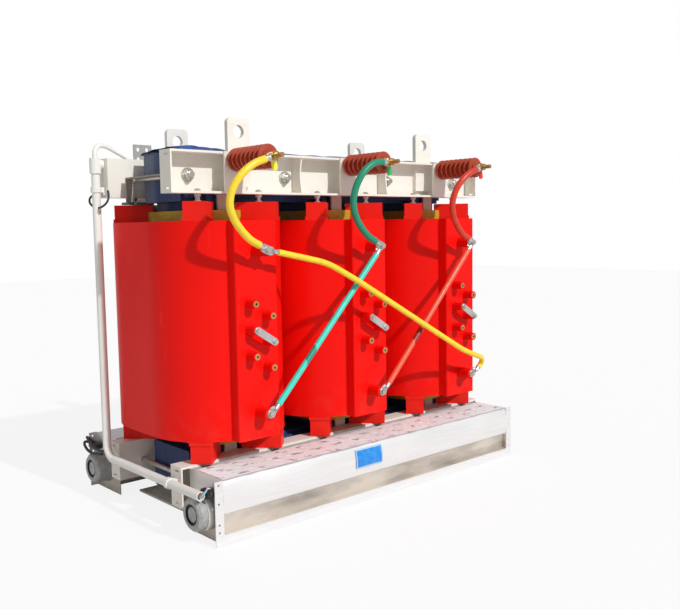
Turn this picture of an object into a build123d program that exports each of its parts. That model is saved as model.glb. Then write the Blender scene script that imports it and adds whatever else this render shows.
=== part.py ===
from build123d import *
import math
import os

# Three-phase cast-resin dry type transformer with two cross-flow cooling blowers.
# Millimetres. X runs along the row of coils, -Y is the high-voltage side, +Y the
# low-voltage side, +Z is up. The origin is on the mounting plane, midway between
# the clamps and in line with the middle coil.

# ---- driving dimensions: active part ----
coil_pitch = 550.0
limb_straight = 98.0          # half length of the straight sides of every oblong winding
core_radius = 95.0
yoke_overhang = 140.0         # yoke beyond the axis of the outer limb
packet_depths = (30.0, 55.0, 75.0, 90.0)
lower_yoke_z = 151.5
upper_yoke_z = 1253.5
tie_plate_thick = 8.0
tie_plate_width = 54.0
lv_inner_radius = 103.0
lv_build = 27.0
lv_bottom, lv_top = 270.0, 1130.0
barrier_radius = 156.0
barrier_wall = 4.0
hv_radius = 262.0
hv_build = 72.0
hv_bottom, hv_top = 314.0, 1091.0
barrier_setback = 6.0         # barrier tubes end this far below the coil's top
panel_width = 180.0
panel_reach = 387.0           # front face of the tap panel from the coil's axis
panel_corner = 7.0

# ---- driving dimensions: frame ----
base_height = 86.0
base_width = 100.0
base_inner_x = 590.0
base_wall = 8.0
foot_hole_x, foot_hole_y, foot_hole_radius = 645.0, 220.0, 9.0
clamp_height = 148.0
clamp_wall = 8.0
clamp_flange = 63.0
clamp_setback = 4.0           # the clamps end this far inside the outer coils' sides
clamp_end_wall = 6.0
top_clamp_z = 1187.0
strap_width = 90.0
strap_wall = 8.0
bolt_inner_x, bolt_outer_x = 275.0, 705.0
bolt_radius = 10.0
bolt_clearance = 1.0
lug_x = 495.0
lug_width = 96.0
lug_thick = 18.0
lug_rise = 128.0              # over the clamp's upper edge
lug_hole_drop = 49.0          # from the lug's top to its eye
lug_hole_radius = 23.5
lug_corner = 18.0
lug_start_rise = 28.0         # from the clamp's lower edge
lug_slot_gap = 0.2            # play round a lifting lug in the flange's slot
end_slot_inset, end_slot_half = 16.0, 3.0
end_slot_near, end_slot_far = 16.0, 42.0
washer_radius, washer_thick = 25.0, 5.0
nut_radius, nut_height = 18.0, 16.0
bolt_tip = 34.0               # end of a yoke bolt beyond the clamp's web

# ---- driving dimensions: pads and their screws ----
pad_width = 77.0
pad_inner, pad_outer = 104.0, 256.0
pad_flange = 4.0
pad_flange_height = 14.0
pad_notch_gap = 1.0           # between a pad and the inner winding
top_pad_height = 68.0
screw_x, screw_y = 132.0, 230.0
screw_radius = 8.0
screw_head_radius = 13.0
screw_rise = 18.0             # end of the screw over the clamp's lower face
screw_tip = 4.0
foot_nut_height, lock_nut_height = 5.0, 10.0

# ---- driving dimensions: high-voltage terminals ----
terminal_top_z, terminal_low_z = 987.0, 412.0
terminal_boss_radius = 22.0
terminal_boss_length = 60.0
terminal_bolt_radius = 6.0
terminal_bolt_depth, terminal_hole_depth = 28.0, 30.0
terminal_washer_radius, terminal_washer_thick = 13.0, 3.0
terminal_head_radius, terminal_head_height = 11.0, 8.0
tap_boss_radius = 18.0
tap_boss_tip_radius = 16.0
tap_boss_length = 45.0
tap_insert_radius = 11.0
tap_insert_depth = 12.0
tap_left_x, tap_right_x = -36.0, 37.0
tap_left_z = (801.0, 709.0, 617.0)
tap_right_z = (755.0, 663.0, 571.0)
tap_link_width, tap_link_thick = 26.0, 6.0
tap_link_hole_radius = 4.3
tap_bolt_radius = 4.0
tap_washer_radius, tap_washer_thick = 10.0, 2.0
tap_head_radius, tap_head_height = 8.5, 7.0
insulator_z = 1305.0
insulator_length = 205.0
insulator_radius = 42.0
insulator_core_radius = 27.0
insulator_foot_rise = 4.0
shed_count = 8
stud_radius = 8.0
stud_length = 72.0
stud_socket = 20.0            # depth of the stud in the insulator
stud_nut_radius, stud_nut_height = 15.0, 14.0
stud_washer_radius, stud_washer_thick = 16.0, 3.0
tag_width, tag_length, tag_thick = 22.0, 62.0, 4.0
tag_hole_drop, tag_corner, tag_tilt = 12.0, 9.0, 12.0
lug_plate_thick = 5.0
lead_radius = 13.0
rod_radius = 11.0
lug_reach = 44.0              # from the bolt's axis to the end of the insulation
lug_palm_width, lug_palm_run = 30.0, 18.0
lug_barrel_length = 20.0
lug_barrel_wall = 2.5         # step from the insulation down to the crimped barrel
lug_neck_x, lug_neck_length = 24.0, 8.0
lug_hole_gap = 0.3

# ---- driving dimensions: low-voltage side ----
lv_bar_width = 80.0
lv_bar_thick = 10.0
lv_bar_y = 400.0
lv_bar_z = 1132.0
lv_bar_top = 1414.0
lv_bar_hole_radius = 9.0
lv_bar_hole_x = 20.0
lv_bar_hole_drops = (20.0, 60.0)
post_radius = 24.0
post_z = 1300.0

# ---- driving dimensions: cooling blowers ----
blower_inset = 34.0           # the clamps reach this far beyond the blowers
blower_front = 472.0
blower_bottom, blower_top = 4.0, 227.0
sheet = 2.0
blower_end_wall = 3.0
end_flange_width = 30.0
end_flange_hole_radius = 4.0
end_flange_hole_drops = (14.0, 78.0, 150.0, 176.0)
top_lip = 34.0                # open strip between the casing's top plate and the clamp
front_step = 12.0             # top edge of the front panel behind its bulge
bulge_rise = 18.0
ridge_rise, ridge_setback = 7.0, 6.0
recess_setback, recess_slope = 18.0, 10.0
recess_foot, ledge_height, ledge_width = 22.0, 32.0, 34.0
recess_height = 40.0
guide_drop = 30.0
fan_y, fan_z = 380.0, 103.0
fan_radius = 52.0
fan_blade_depth = 11.0
blade_count = 24
fan_disc_thick = 3.0
fan_shaft_radius = 6.0
fan_end_gap = 8.0
blade_thick = 1.6
fan_ring_lap = 6.0            # the middle ring reaches this far inside the blades
shaft_overhang = 14.0
shaft_hole_gap = 1.5
motor_radius = 59.0
motor_length = 68.0
motor_shaft_clearance = 0.5
motor_foot_rim, motor_foot_thick = 6.0, 3.0
motor_bevel, motor_cover_radius, motor_cover_sink = 8.0, 32.0, 4.0
motor_bore_depth = 24.0
bearing_radius, bearing_length = 20.0, 16.0

# ---- driving dimensions: conduit ----
conduit_radius = 16.0
conduit_wall = 2.5
conduit_gap = 30.0            # from the clamps' ends to the conduit's axis
conduit_z = 180.0
conduit_front_y = -439.0
riser_y = 235.0
riser_top = 1290.0
tee_socket, tee_height = 12.0, 46.0
elbow_radius = 55.0
sensor_tube_radius = 9.0
clip_wall = 4.0
clip_gap = 0.2
clip_half_width, clip_foot_width = 10.0, 24.0
riser_clip_rise = 30.0        # upper clip over the top clamp's lower edge
tee_wall, branch_wall = 5.0, 2.0
# bends of the sensor tube from the tee's top: (x, y, z)
sensor_bends = [(0, 0, 0), (0, 0, 28), (20, 11, 50), (60, 32, 52), (105, 52, 38),
                (152, 60, 18), (196, 62, -10)]

# ---- driving dimensions: end press bar ----
press_bar_x = 200.0           # outer side of the bar from the first coil's axis
press_bar_width, press_bar_thick = 30.0, 6.0
press_level = 1262.0
press_corner_y = 170.0
press_foot_x = 100.0          # inner side of the foot from the first coil's axis
press_foot_lap, press_foot_depth, press_foot_inset = 8.0, 36.0, 6.0
press_foot_height = 9.0

# ---- worked-out values ----
phases = ("a", "b", "c")
coil_x = [-coil_pitch, 0.0, coil_pitch]
core_half_depth = limb_straight + packet_depths[-1]
web_y = core_half_depth + tie_plate_thick
web_front_y = web_y + clamp_wall
flange_y = web_front_y + clamp_flange
bottom_clamp_z = base_height
clamp_half_length = coil_pitch + hv_radius - clamp_setback
lug_start_z = top_clamp_z + lug_start_rise
lug_top = top_clamp_z + clamp_height + lug_rise
lug_hole_z = lug_top - lug_hole_drop
screw_top = top_clamp_z + screw_rise
top_pad_top = hv_top + top_pad_height
boss_front = panel_reach + terminal_boss_length
strap_front = flange_y + strap_wall
blower_back = flange_y        # the blowers are held against the edges of the clamps
insulator_front = strap_front + insulator_length
blower_half_length = clamp_half_length - blower_inset
shaft_end = fan_end_gap + blower_end_wall + shaft_overhang
shaft_hole_radius = fan_shaft_radius + shaft_hole_gap
conduit_x = -(clamp_half_length + conduit_gap)
foot_top = top_pad_top + press_foot_height
tag_stack = stud_nut_height + tag_thick
stud_lug_back = insulator_front + tag_stack
delta_lug_back = boss_front
lead_lug_back = boss_front + lug_plate_thick

# inner points of each hanging lead from its coil's axis: (x, y, z)
lead_points = {
    "a": [(-87, -511, 1276), (-129, -505, 1246), (-157, -498, 1210), (-172, -490, 1170),
          (-172, -485, 1132), (-150, -478, 1088), (-112, -472, 1048), (-74, -465, 1020)],
    "b": [(-80, -511, 1300), (-118, -509, 1282), (-146, -504, 1254), (-166, -497, 1216),
          (-176, -490, 1174), (-173, -484, 1132), (-150, -477, 1088), (-112, -471, 1048),
          (-74, -465, 1020)],
    "c": [(-86, -511, 1278), (-126, -507, 1250), (-153, -498, 1214), (-167, -491, 1174),
          (-168, -485, 1134), (-148, -478, 1090), (-112, -472, 1050), (-74, -465, 1020)],
}
# inner points of the bent delta link, in the unit's frame
long_link_points = [(-462, -458, 969), (-400, -471, 955), (-309, -486, 934), (-175, -490, 869),
                    (440, -494, 534), (530, -490, 501), (575, -482, 487), (600, -470, 470),
                    (603, -458, 449)]


def save(name, shapes):
    """Write one node as a STEP file holding separate solids."""
    solids = []
    for shape in shapes:
        solids.extend(shape.solids())
    export_step(Compound(children=solids, label=name), f"parts/{name}.step")


def block(x, y, z):
    """Box between two limits along each axis."""
    centre = [(a + b) / 2 for a, b in (x, y, z)]
    return Pos(*centre) * Box(*(abs(b - a) for a, b in (x, y, z)))


def along_y(radius, y_start, y_end, x, z):
    """Round bar along Y."""
    place = Pos(x, (y_start + y_end) / 2, z) * Rot(90, 0, 0)
    return place * Cylinder(radius, abs(y_end - y_start))


def along_x(radius, x_start, x_end, y, z):
    """Round bar along X."""
    place = Pos((x_start + x_end) / 2, y, z) * Rot(0, 90, 0)
    return place * Cylinder(radius, abs(x_end - x_start))


def hexagon_y(radius, y_start, y_end, x, z):
    """Nut or bolt head with its axis along Y, by its corner radius."""
    face = Plane.XZ * RegularPolygon(radius, 6)
    return Pos(x, y_start, z) * extrude(face, y_start - y_end)


def oblong(radius, x, bottom, top):
    """Solid oblong column round one limb."""
    slot = SlotCenterToCenter(2 * limb_straight, 2 * radius, rotation=90)
    return Pos(x, 0, bottom) * extrude(slot, top - bottom)


def oblong_tube(radius, wall, x, bottom, top):
    """Oblong sleeve round one limb."""
    return oblong(radius, x, bottom, top) - oblong(radius - wall, x, bottom, top)


def mirrored(shape):
    """The same shape on the low-voltage side."""
    return mirror(shape, about=Plane.XZ)


# ---- core ----
def packet_half_width(depth):
    """Half width of a core packet that reaches this far past the straight part."""
    return math.sqrt(core_radius**2 - depth**2)


def yoke(z):
    """Stepped yoke: each packet of plates is lower the further it lies from the middle."""
    shape = None
    for depth in packet_depths:
        half = packet_half_width(depth)
        reach = coil_pitch + yoke_overhang - (packet_half_width(packet_depths[0]) - half)
        y = limb_straight + depth
        packet = block((-reach, reach), (-y, y), (z - half, z + half))
        shape = packet if shape is None else shape + packet
    for x in (-bolt_inner_x, bolt_inner_x):
        hole = along_y(bolt_radius + bolt_clearance, -web_y, web_y, x, z)
        shape = shape - hole
    return shape


def limb(x):
    """Stepped limb between the yokes, cut to the steps of the upper yoke."""
    shape = None
    for depth in packet_depths:
        half = packet_half_width(depth)
        y = limb_straight + depth
        packet = block((x - half, x + half), (-y, y), (lower_yoke_z, upper_yoke_z))
        shape = packet if shape is None else shape + packet
    return shape


def build_core():
    upper = yoke(upper_yoke_z)
    lower = yoke(lower_yoke_z)
    for x in coil_x:
        lower = lower + (limb(x) - upper)
    for x in (-bolt_inner_x, bolt_inner_x):
        bore = along_y(bolt_radius + bolt_clearance, -web_y, web_y, x, lower_yoke_z)
        lower = lower - bore
    save("lower_core", [lower])
    save("upper_yoke", [upper])
    plates = []
    plate_bottom = bottom_clamp_z + clamp_wall
    plate_top = top_clamp_z + clamp_height - clamp_wall
    for x in coil_x:
        half = tie_plate_width / 2
        plate = block((x - half, x + half), (-web_y, -core_half_depth), (plate_bottom, plate_top))
        plates += [plate, mirrored(plate)]
    save("tie_plates", plates)


# ---- windings ----
def tap_places():
    """Places of the six tap bosses on a panel, as (x, z) from the coil's axis."""
    return [(tap_left_x, z) for z in tap_left_z] + [(tap_right_x, z) for z in tap_right_z]


def hv_coil(x):
    """Cast coil: oblong resin body with a flat tap panel, terminal and tap bosses."""
    height = hv_top - hv_bottom
    body = oblong(hv_radius, x, hv_bottom, hv_top)
    panel_depth = panel_reach - limb_straight
    panel = Pos(x, -limb_straight - panel_depth / 2, hv_bottom + height / 2) * Box(
        panel_width, panel_depth, height)
    front_edges = panel.edges().filter_by(Axis.Z).sort_by(Axis.Y)[0:2]
    body = body + fillet(front_edges, panel_corner)
    body = body - oblong(hv_radius - hv_build, x, hv_bottom, hv_top)
    for z in (terminal_top_z, terminal_low_z):
        body = body + along_y(terminal_boss_radius, -panel_reach, -boss_front, x, z)
        body = body - along_y(terminal_bolt_radius, -boss_front + terminal_hole_depth,
                              -boss_front, x, z)
    tip = panel_reach + tap_boss_length
    for dx, z in tap_places():
        place = Pos(x + dx, -panel_reach - tap_boss_length / 2, z) * Rot(90, 0, 0)
        body = body + place * Cone(tap_boss_radius, tap_boss_tip_radius, tap_boss_length)
        body = body - along_y(tap_insert_radius, -tip + tap_insert_depth, -tip, x + dx, z)
    return body


def build_windings():
    for name, x in zip(phases, coil_x):
        save(f"hv_coil_{name}", [hv_coil(x)])
        lv_radius = lv_inner_radius + lv_build
        save(f"lv_winding_{name}", [oblong_tube(lv_radius, lv_build, x, lv_bottom, lv_top)])
    barriers = [oblong_tube(barrier_radius, barrier_wall, x, hv_bottom, hv_top - barrier_setback)
                for x in coil_x]
    save("barrier_tubes", barriers)


def pad(bottom, top, flange_at_bottom):
    """Support block lying radially under or over a coil, cut clear of the inner winding."""
    length = pad_outer - pad_inner
    body = Pos(pad_inner + length / 2, 0, (bottom + top) / 2) * Box(length, pad_width, top - bottom)
    flange_mid = bottom + pad_flange_height / 2 if flange_at_bottom else top - pad_flange_height / 2
    flange = Pos(pad_inner + length / 2 + pad_flange / 2, 0, flange_mid) * Box(
        length + pad_flange, pad_width + 2 * pad_flange, pad_flange_height)
    return body + flange


def build_pads():
    notch_radius = lv_inner_radius + lv_build + pad_notch_gap
    for name, x in zip(phases, coil_x):
        for level in ("top", "bottom"):
            if level == "top":
                bottom, top = hv_top, top_pad_top
            else:
                bottom, top = bottom_clamp_z + clamp_height, hv_bottom
            blank = pad(bottom, top, level == "top")
            notch = oblong(notch_radius, x, lv_bottom - pad_notch_gap, lv_top + pad_notch_gap)
            blocks = []
            for side in (-1, 1):
                for angle in (45, 135):
                    place = Pos(x, side * limb_straight, 0) * Rot(0, 0, side * angle)
                    blocks.append(place * blank - notch)
            save(f"{level}_pads_{name}", blocks)


# ---- frame ----
def channel(z, hole_z):
    """Front clamp: a channel with closed ends, open towards the front."""
    outer = block((-clamp_half_length, clamp_half_length), (-flange_y, -web_y),
                  (z, z + clamp_height))
    inner_x = clamp_half_length - clamp_end_wall
    pocket = block((-inner_x, inner_x), (-flange_y, -web_front_y),
                   (z + clamp_wall, z + clamp_height - clamp_wall))
    shape = outer - pocket
    for x in (-bolt_outer_x, -bolt_inner_x, bolt_inner_x, bolt_outer_x):
        hole = along_y(bolt_radius + bolt_clearance, -web_y, -web_front_y, x, hole_z)
        shape = shape - hole
    for slot_z in (z + end_slot_inset, z + clamp_height - end_slot_inset):
        slot = block((-clamp_half_length, clamp_half_length),
                     (-flange_y + end_slot_near, -flange_y + end_slot_far),
                     (slot_z - end_slot_half, slot_z + end_slot_half))
        ends = slot - block((-inner_x, inner_x), (-flange_y, -web_y), (z, z + clamp_height))
        shape = shape - ends
    return shape


def top_channel():
    """Top clamp: holes for the pressure screws, slots for the lifting lugs, terminal straps."""
    shape = channel(top_clamp_z, upper_yoke_z)
    for x in coil_x:
        strap = block((x - strap_width / 2, x + strap_width / 2), (-strap_front, -flange_y),
                      (top_clamp_z, top_clamp_z + clamp_height))
        shape = shape + strap
        for dx in (-screw_x, screw_x):
            hole = Pos(x + dx, -screw_y, top_clamp_z + clamp_wall / 2) * Cylinder(
                screw_radius + bolt_clearance, clamp_wall)
            shape = shape - hole
    top = top_clamp_z + clamp_height
    for x in (-lug_x, lug_x):
        half = lug_width / 2 + lug_slot_gap
        shape = shape - block((x - half, x + half),
                              (-web_front_y - lug_thick - lug_slot_gap, -web_front_y),
                              (top - clamp_wall, top))
    return shape


def lifting_lug(x):
    """Lifting lug: thick plate on the clamp's web with a large eye."""
    height = lug_top - lug_start_z
    face = Plane.XZ * Rectangle(lug_width, height)
    plate = Pos(x, -web_front_y, lug_start_z + height / 2) * extrude(face, lug_thick)
    corners = plate.edges().filter_by(Axis.Y).sort_by(Axis.Z)[-2:]
    plate = fillet(corners, lug_corner)
    eye = along_y(lug_hole_radius, -web_front_y, -web_front_y - lug_thick, x, lug_hole_z)
    return plate - eye


def base_channel(side):
    """Base channel across the clamps, open outwards, with two foot holes."""
    x_in, x_out = base_inner_x, base_inner_x + base_width
    outer = block((x_in, x_out), (-flange_y, flange_y), (0, base_height))
    pocket = block((x_in + base_wall, x_out), (-flange_y, flange_y),
                   (base_wall, base_height - base_wall))
    shape = outer - pocket
    yoke_under = lower_yoke_z - packet_half_width(packet_depths[0])
    shape = shape - block((x_in, x_out), (-web_y, web_y), (yoke_under, base_height))
    for y in (-foot_hole_y, foot_hole_y):
        shape = shape - Pos(foot_hole_x, y, base_wall / 2) * Cylinder(foot_hole_radius, base_wall)
    return shape if side > 0 else mirror(shape, about=Plane.YZ)


def yoke_bolt(x, z):
    """Through bolt with a washer and a nut at both clamps."""
    tip = web_front_y + bolt_tip
    nut_seat = web_front_y + washer_thick
    shape = along_y(bolt_radius, -tip, tip, x, z)
    for side in (-1, 1):
        washer = along_y(washer_radius, side * web_front_y, side * nut_seat, x, z)
        nut = hexagon_y(nut_radius, side * nut_seat, side * (nut_seat + nut_height), x, z)
        shape = shape + washer + nut
    return shape


def build_frame():
    top, bottom = top_channel(), channel(bottom_clamp_z, lower_yoke_z)
    save("top_clamp_front", [top])
    save("top_clamp_rear", [mirrored(top)])
    save("bottom_clamp_front", [bottom])
    save("bottom_clamp_rear", [mirrored(bottom)])
    lugs = [lifting_lug(-lug_x), lifting_lug(lug_x)]
    save("front_lifting_lugs", lugs)
    save("rear_lifting_lugs", [mirrored(lug) for lug in lugs])
    save("base_channels", [base_channel(-1), base_channel(1)])
    bolts = []
    for z in (lower_yoke_z, upper_yoke_z):
        for x in (-bolt_outer_x, -bolt_inner_x, bolt_inner_x, bolt_outer_x):
            bolts.append(yoke_bolt(x, z))
    save("yoke_bolts", bolts)


def pressure_screw(x, y):
    """Pressure screw standing on a top pad, locked under and over the clamp's flange."""
    height = screw_top - top_pad_top
    shape = Pos(x, y, top_pad_top + height / 2) * Cylinder(screw_radius, height)
    for low, high in ((top_pad_top, top_pad_top + foot_nut_height),
                      (top_clamp_z - lock_nut_height, top_clamp_z),
                      (top_clamp_z + clamp_wall, screw_top - screw_tip)):
        nut = Pos(x, y, low) * extrude(RegularPolygon(screw_head_radius, 6), high - low)
        shape = shape + nut
    return shape


def build_screws():
    screws = []
    for x in coil_x:
        for dx in (-screw_x, screw_x):
            for side in (-1, 1):
                screws.append(pressure_screw(x + dx, side * screw_y))
    save("pressure_screws", screws)


# ---- high-voltage fittings ----
def insulator(x):
    """Ribbed post insulator turned about its axis, standing out from the clamp."""
    pitch = insulator_length / shed_count
    points = [(0, 0), (insulator_core_radius + insulator_foot_rise, 0)]
    for index in range(shed_count):
        start = index * pitch
        points.append((insulator_core_radius, start + 0.30 * pitch))
        points.append((insulator_radius, start + 0.50 * pitch))
        points.append((insulator_radius, start + 0.72 * pitch))
        points.append((insulator_core_radius, start + 0.86 * pitch))
    points += [(insulator_core_radius, insulator_length), (0, insulator_length)]
    profile = make_face(Polyline(*points, close=True))
    turned = revolve(Plane.XZ * profile, Axis.Z)
    post = Pos(x, -strap_front, insulator_z) * Rot(90, 0, 0) * turned
    socket = along_y(stud_radius, -insulator_front + stud_socket, -insulator_front, x, insulator_z)
    return post - socket


def stud(x):
    """Terminal stud with its two nuts and washers."""
    start, end = insulator_front - stud_socket, insulator_front + stud_length
    shape = along_y(stud_radius, -start, -end, x, insulator_z)
    inner_nut = insulator_front + stud_nut_height
    shape = shape + hexagon_y(stud_nut_radius, -insulator_front, -inner_nut, x, insulator_z)
    washer_back = stud_lug_back + lug_plate_thick
    nut_back = washer_back + stud_washer_thick
    shape = shape + along_y(stud_washer_radius, -washer_back, -nut_back, x, insulator_z)
    nut_front = nut_back + stud_nut_height
    shape = shape + hexagon_y(stud_nut_radius, -nut_back, -nut_front, x, insulator_z)
    return shape


def phase_tag(x):
    """Small colour tag that hangs from the stud between the nut and the lug."""
    outline = Pos(0, tag_hole_drop - tag_length / 2) * RectangleRounded(
        tag_width, tag_length, tag_corner)
    face = Plane.XZ * (outline - Circle(stud_radius))
    back = stud_lug_back - tag_thick
    return Pos(x, -back, insulator_z) * Rot(0, -tag_tilt, 0) * extrude(face, tag_thick)


def cable_lug(x, z, back, target, tube_radius):
    """Crimped lug: flat palm on the bolt, barrel pointing at the target (x, z)."""
    angle = math.degrees(math.atan2(target[1] - z, target[0] - x))
    barrel = tube_radius - lug_barrel_wall
    palm = Pos(lug_palm_run / 2, 0) * SlotCenterToCenter(lug_palm_run, lug_palm_width)
    shape = extrude(Plane.XZ * (palm - Circle(terminal_bolt_radius + lug_hole_gap)), lug_plate_thick)
    barrel_place = Pos(lug_reach - lug_barrel_length / 2, -tube_radius, 0) * Rot(0, 90, 0)
    shape = shape + barrel_place * Cylinder(barrel, lug_barrel_length)
    neck = Plane.XZ * (Pos(lug_neck_x, 0) * Rectangle(lug_neck_length, 2 * barrel * 0.9))
    shape = shape + extrude(neck, tube_radius)
    return Pos(x, -back, z) * Rot(0, -angle, 0) * shape


def stud_lug(x, z, back, target, tube_radius):
    """The same lug with a larger hole for the insulator's stud."""
    lug = cable_lug(x, z, back, target, tube_radius)
    return lug - along_y(stud_radius + lug_hole_gap, -back, -back - lug_plate_thick, x, z)


def lug_end(x, z, back, target, tube_radius):
    """Point where the insulation starts, at the end of a lug's barrel."""
    length = math.hypot(target[0] - x, target[1] - z)
    ratio = lug_reach / length
    return (x + (target[0] - x) * ratio, -back - tube_radius, z + (target[1] - z) * ratio)


def bend_radii(points):
    """Largest smooth radius at each inner point: 0.45 of the shorter run over tan(half turn)."""
    radii = []
    for before, at, after in zip(points, points[1:], points[2:]):
        run_in, run_out = Vector(*at) - Vector(*before), Vector(*after) - Vector(*at)
        half_turn = math.radians(run_in.get_angle(run_out)) / 2
        radii.append(0.45 * min(run_in.length, run_out.length) / math.tan(half_turn))
    return radii


def tube(name, points, radius):
    """Round lead along straight runs joined by tangent arcs; prints what it used."""
    radii = bend_radii(points)
    path = FilletPolyline(*points, radius=radii) if radii else Polyline(*points)
    start = Plane(origin=path @ 0, z_dir=path % 0)
    solid = sweep(start * Circle(radius), path=path)
    ideal = math.pi * radius**2 * path.length
    print(name, "length", round(path.length, 1), "volume ratio",
          round(solid.volume / ideal, 4), "radii", [round(r) for r in radii])
    return solid


def build_hv():
    studs, tags, lead_lugs, delta_lugs, bolts = [], [], [], [], []
    for name, x in zip(phases, coil_x):
        save(f"hv_insulator_{name}", [insulator(x)])
        studs.append(stud(x))
        tags.append(phase_tag(x))
        inner = [(x + dx, y, z) for dx, y, z in lead_points[name]]
        top_target = (inner[0][0], inner[0][2])
        low_target = (inner[-1][0], inner[-1][2])
        lead_lugs.append(stud_lug(x, insulator_z, stud_lug_back, top_target, lead_radius))
        lead_lugs.append(cable_lug(x, terminal_top_z, lead_lug_back, low_target, lead_radius))
        first = lug_end(x, insulator_z, stud_lug_back, top_target, lead_radius)
        last = lug_end(x, terminal_top_z, lead_lug_back, low_target, lead_radius)
        save(f"hv_lead_{name}", [tube(f"hv_lead_{name}", [first] + inner + [last], lead_radius)])
        for z, lugs in ((terminal_top_z, 2), (terminal_low_z, 1)):
            front = boss_front + lugs * lug_plate_thick
            head_back = front + terminal_washer_thick
            bolt = along_y(terminal_bolt_radius, -boss_front + terminal_bolt_depth, -head_back, x, z)
            bolt = bolt + along_y(terminal_washer_radius, -front, -head_back, x, z)
            head_front = head_back + terminal_head_height
            bolts.append(bolt + hexagon_y(terminal_head_radius, -head_back, -head_front, x, z))
    # each upper terminal is joined to the lower terminal of another phase
    routes = (("a", coil_x[0], coil_x[2], long_link_points),
              ("b", coil_x[1], coil_x[0], []),
              ("c", coil_x[2], coil_x[1], []))
    for name, x_top, x_low, inner in routes:
        if inner:
            top_target = (inner[0][0], inner[0][2])
            low_target = (inner[-1][0], inner[-1][2])
        else:
            top_target, low_target = (x_low, terminal_low_z), (x_top, terminal_top_z)
        top = (x_top, terminal_top_z, delta_lug_back, top_target, rod_radius)
        low = (x_low, terminal_low_z, delta_lug_back, low_target, rod_radius)
        delta_lugs += [cable_lug(*top), cable_lug(*low)]
        points = [lug_end(*top)] + inner + [lug_end(*low)]
        save(f"delta_link_{name}", [tube(f"delta_link_{name}", points, rod_radius)])
    save("terminal_studs", studs)
    save("phase_tags", tags)
    save("cable_lugs", lead_lugs + delta_lugs)
    save("terminal_bolts", bolts)


def build_taps():
    inserts, links, bolts = [], [], []
    tip = panel_reach + tap_boss_length
    joined = ((tap_left_x, tap_left_z[1]), (tap_right_x, tap_right_z[1]))
    for x in coil_x:
        for dx, z in tap_places():
            insert = along_y(tap_insert_radius, -tip + tap_insert_depth, -tip, x + dx, z)
            inserts.append(insert - along_y(tap_bolt_radius, -tip + tap_insert_depth, -tip, x + dx, z))
        (x0, z0), (x1, z1) = joined
        span = math.hypot(x1 - x0, z1 - z0)
        angle = math.degrees(math.atan2(z1 - z0, x1 - x0))
        hole = Circle(tap_link_hole_radius)
        outline = SlotCenterToCenter(span, tap_link_width) - Pos(-span / 2, 0) * hole
        bar = extrude(Plane.XZ * (outline - Pos(span / 2, 0) * hole), tap_link_thick)
        links.append(Pos(x + (x0 + x1) / 2, -tip, (z0 + z1) / 2) * Rot(0, -angle, 0) * bar)
        washer_back = tip + tap_link_thick
        head_back = washer_back + tap_washer_thick
        head_front = head_back + tap_head_height
        for dx, z in joined:
            bolt = along_y(tap_bolt_radius, -tip + tap_insert_depth, -head_back, x + dx, z)
            bolt = bolt + along_y(tap_washer_radius, -washer_back, -head_back, x + dx, z)
            bolts.append(bolt + hexagon_y(tap_head_radius, -head_back, -head_front, x + dx, z))
    save("tap_inserts", inserts)
    save("tap_links", links)
    save("tap_link_bolts", bolts)


# ---- low-voltage fittings ----
def lv_bar(x):
    """Flat bar from the winding's top end, out under the clamp and up to the terminal."""
    start_y = limb_straight + lv_inner_radius
    outline = Polyline((start_y, lv_bar_z), (lv_bar_y, lv_bar_z), (lv_bar_y, lv_bar_top),
                       (lv_bar_y - lv_bar_thick, lv_bar_top),
                       (lv_bar_y - lv_bar_thick, lv_bar_z + lv_bar_thick),
                       (start_y, lv_bar_z + lv_bar_thick), close=True)
    bar = Pos(x - lv_bar_width / 2, 0, 0) * extrude(Plane.YZ * make_face(outline), lv_bar_width)
    for dx in (-lv_bar_hole_x, lv_bar_hole_x):
        for drop in lv_bar_hole_drops:
            bar = bar - along_y(lv_bar_hole_radius, lv_bar_y - lv_bar_thick, lv_bar_y,
                                x + dx, lv_bar_top - drop)
    return bar


def build_lv():
    posts = []
    for name, x in zip(phases, coil_x):
        save(f"lv_bar_{name}", [lv_bar(x)])
        length = lv_bar_y - lv_bar_thick - strap_front
        profile = make_face(Polyline((0, 0), (post_radius, 0), (post_radius, 0.25 * length),
                                     (0.75 * post_radius, 0.4 * length),
                                     (0.75 * post_radius, 0.6 * length),
                                     (post_radius, 0.75 * length), (post_radius, length),
                                     (0, length), close=True))
        turned = revolve(Plane.XZ * profile, Axis.Z)
        posts.append(Pos(x, strap_front, post_z) * Rot(-90, 0, 0) * turned)
    save("lv_bar_supports", posts)


# ---- blowers, modelled on the front and mirrored to the rear ----
def blower_section():
    """Section of the folded casing across the blower, as a thin strip in the YZ plane."""
    front, top = -blower_front + sheet / 2, blower_top - sheet / 2
    ridge_z = fan_z + ridge_rise
    lip = Line((-blower_back - top_lip, top), (front + front_step, top))
    bulge = ThreePointArc(lip @ 1, (front, (top + ridge_z) / 2 + bulge_rise),
                          (front + ridge_setback, ridge_z))
    step = Polyline(bulge @ 1, (front + recess_setback, ridge_z - recess_slope),
                    (front + recess_foot, blower_bottom + recess_height),
                    (front, blower_bottom + ledge_height), (front, blower_bottom + sheet / 2),
                    (front + ledge_width, blower_bottom + sheet / 2))
    return Curve() + [lip, bulge, step]


def guide_section():
    """Section of the rear guide plate that leads the air up to the outlet."""
    back, top = -blower_back - sheet / 2, blower_top - sheet / 2
    rise = Line((back, top), (back, fan_z + guide_drop))
    sweep_in = ThreePointArc(rise @ 1, (back - 12, fan_z - guide_drop), (back - 48, fan_z - 72))
    return Curve() + [rise, sweep_in]


def sheet_run(section):
    """Folded sheet along the blower between its end plates."""
    length = 2 * (blower_half_length - blower_end_wall)
    strip = Plane.YZ * trace(section, sheet)
    return Pos(-length / 2, 0, 0) * extrude(strip, length)


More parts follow.
